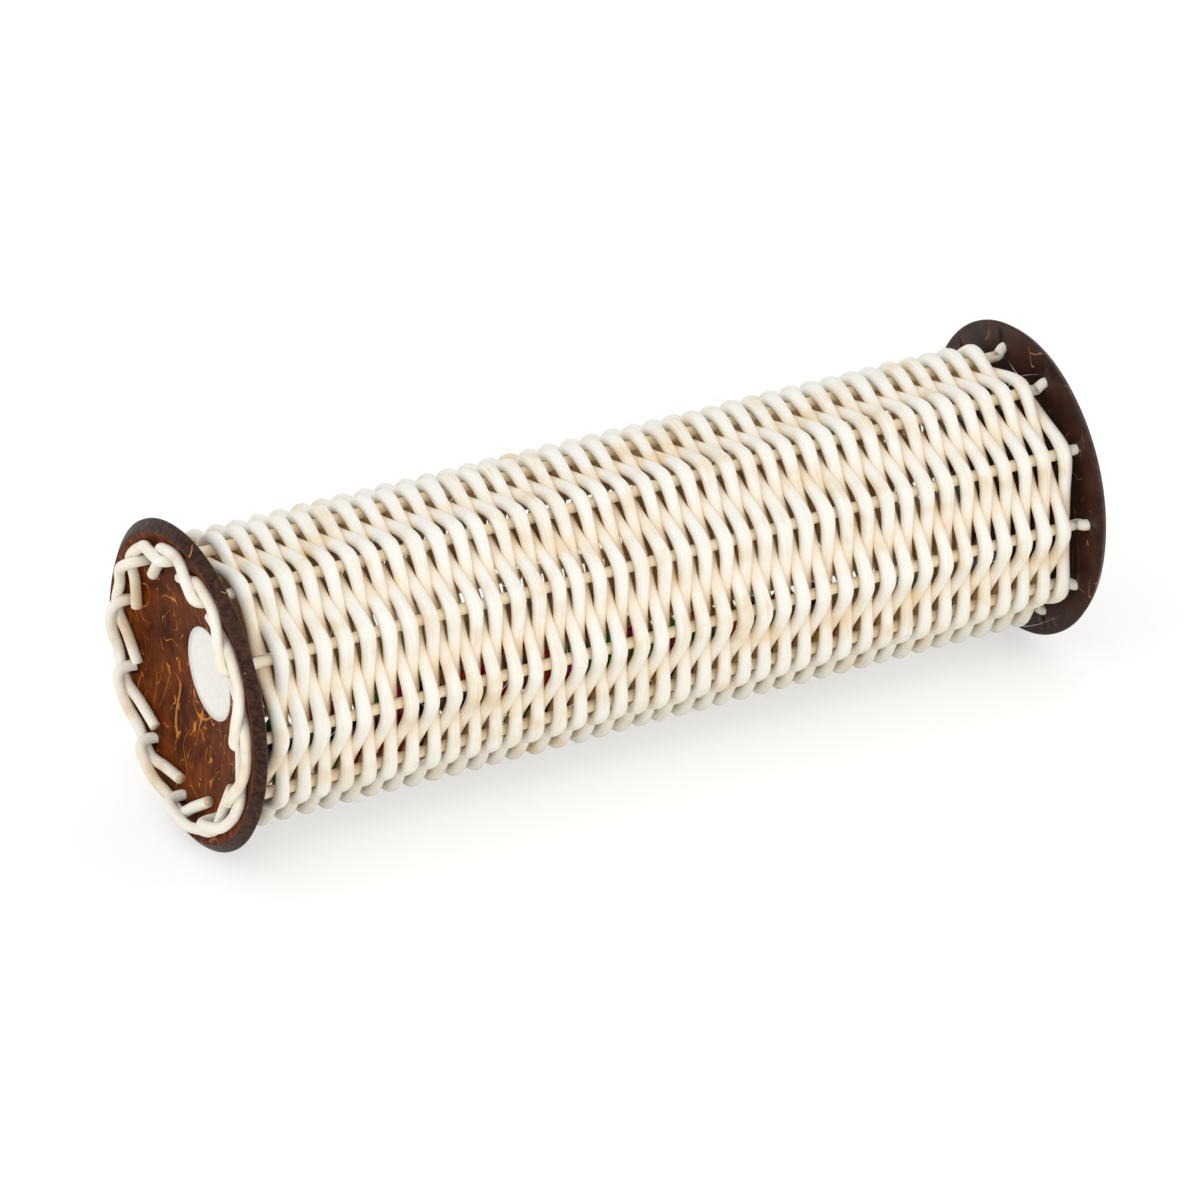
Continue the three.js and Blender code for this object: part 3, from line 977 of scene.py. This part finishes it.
def make_floor():
    """A pale floor that keeps the shadow and otherwise meets the white backdrop."""
    corners = [(x * FLOOR_HALF, y * FLOOR_HALF, 0) for x, y in ((-1, -1), (1, -1), (1, 1), (-1, 1))]
    material, nodes, links, shader = new_material("floor")
    nodes.remove(shader)
    matt = add_node(nodes, "ShaderNodeBsdfDiffuse", Color=FLOOR_COLOUR)
    seen = add_node(nodes, "ShaderNodeBsdfDiffuse", Color=SEEN_COLOUR)
    glow = add_node(nodes, "ShaderNodeEmission", Strength=SEEN_GLOW)
    pale = nodes.new("ShaderNodeAddShader")
    links.new(seen.outputs["BSDF"], pale.inputs[0])
    links.new(glow.outputs["Emission"], pale.inputs[1])
    choose = nodes.new("ShaderNodeMixShader")
    links.new(backdrop_rays(nodes, links), choose.inputs["Fac"])
    links.new(matt.outputs["BSDF"], choose.inputs[1])
    links.new(pale.outputs["Shader"], choose.inputs[2])
    links.new(choose.outputs["Shader"], nodes["Material Output"].inputs["Surface"])
    floor = mesh_piece("floor", corners, [(0, 1, 2, 3)], [material])


def make_world():
    """Even studio light, with a white backdrop for what the camera sees."""
    world = bpy.data.worlds.new("studio")
    bpy.context.scene.world = world
    world.use_nodes = True
    nodes, links = world.node_tree.nodes, world.node_tree.links
    light = nodes["Background"]
    set_sockets(light, {"Color": WORLD_COLOUR, "Strength": WORLD_STRENGTH})
    backdrop = add_node(nodes, "ShaderNodeBackground", Color=WHITE, Strength=1.0)
    mix = nodes.new("ShaderNodeMixShader")
    links.new(backdrop_rays(nodes, links), mix.inputs["Fac"])
    links.new(light.outputs["Background"], mix.inputs[1])
    links.new(backdrop.outputs["Background"], mix.inputs[2])
    links.new(mix.outputs["Shader"], nodes["World Output"].inputs["Surface"])


def aim(thing, target):
    away = thing.location - target
    thing.rotation_euler = away.to_track_quat("Z", "Y").to_euler()


def make_lamp(name, place, size, power):
    data = bpy.data.lights.new(name, "AREA")
    data.shape = "DISK"
    data.size = size
    data.energy = power
    lamp = bpy.data.objects.new(name, data)
    bpy.context.scene.collection.objects.link(lamp)
    lamp.location = place
    aim(lamp, Vector((0, 0, AXIS_Z)))


def make_camera():
    data = bpy.data.cameras.new("photo_camera")
    data.sensor_width = SENSOR_MM
    data.lens = SENSOR_MM * FOCAL_PIXELS / PHOTO_PIXELS
    data.shift_x = (PHOTO_PIXELS / 2 - OPTICAL_AXIS_PIXEL[0]) / PHOTO_PIXELS
    data.shift_y = (OPTICAL_AXIS_PIXEL[1] - PHOTO_PIXELS / 2) / PHOTO_PIXELS
    camera = bpy.data.objects.new("photo_camera", data)
    bpy.context.scene.collection.objects.link(camera)
    middle = Vector((TUBE_MIDDLE, 0, AXIS_Z))
    away = Vector((
        -math.sin(CAMERA_AZIMUTH) * math.cos(CAMERA_ELEVATION),
        -math.cos(CAMERA_AZIMUTH) * math.cos(CAMERA_ELEVATION),
        math.sin(CAMERA_ELEVATION),
    ))
    camera.location = middle + away * CAMERA_DISTANCE
    aim(camera, middle)
    bpy.context.scene.camera = camera


make_camera()
make_world()
make_floor()
for lamp in LAMPS:
    make_lamp(*lamp)
bpy.context.scene.view_settings.view_transform = "Standard"

for weaver in range(WEAVER_COUNT):
    make_weaver(weaver)
for stake in range(STAKE_COUNT):
    make_stake(stake)
make_discs()
make_label()
for body, nodes in frame["record"]["behaviour"]["bodies"].items():
    if body.startswith("loose_bead"):
        make_bead_row(nodes[0], body)
make_fibres()
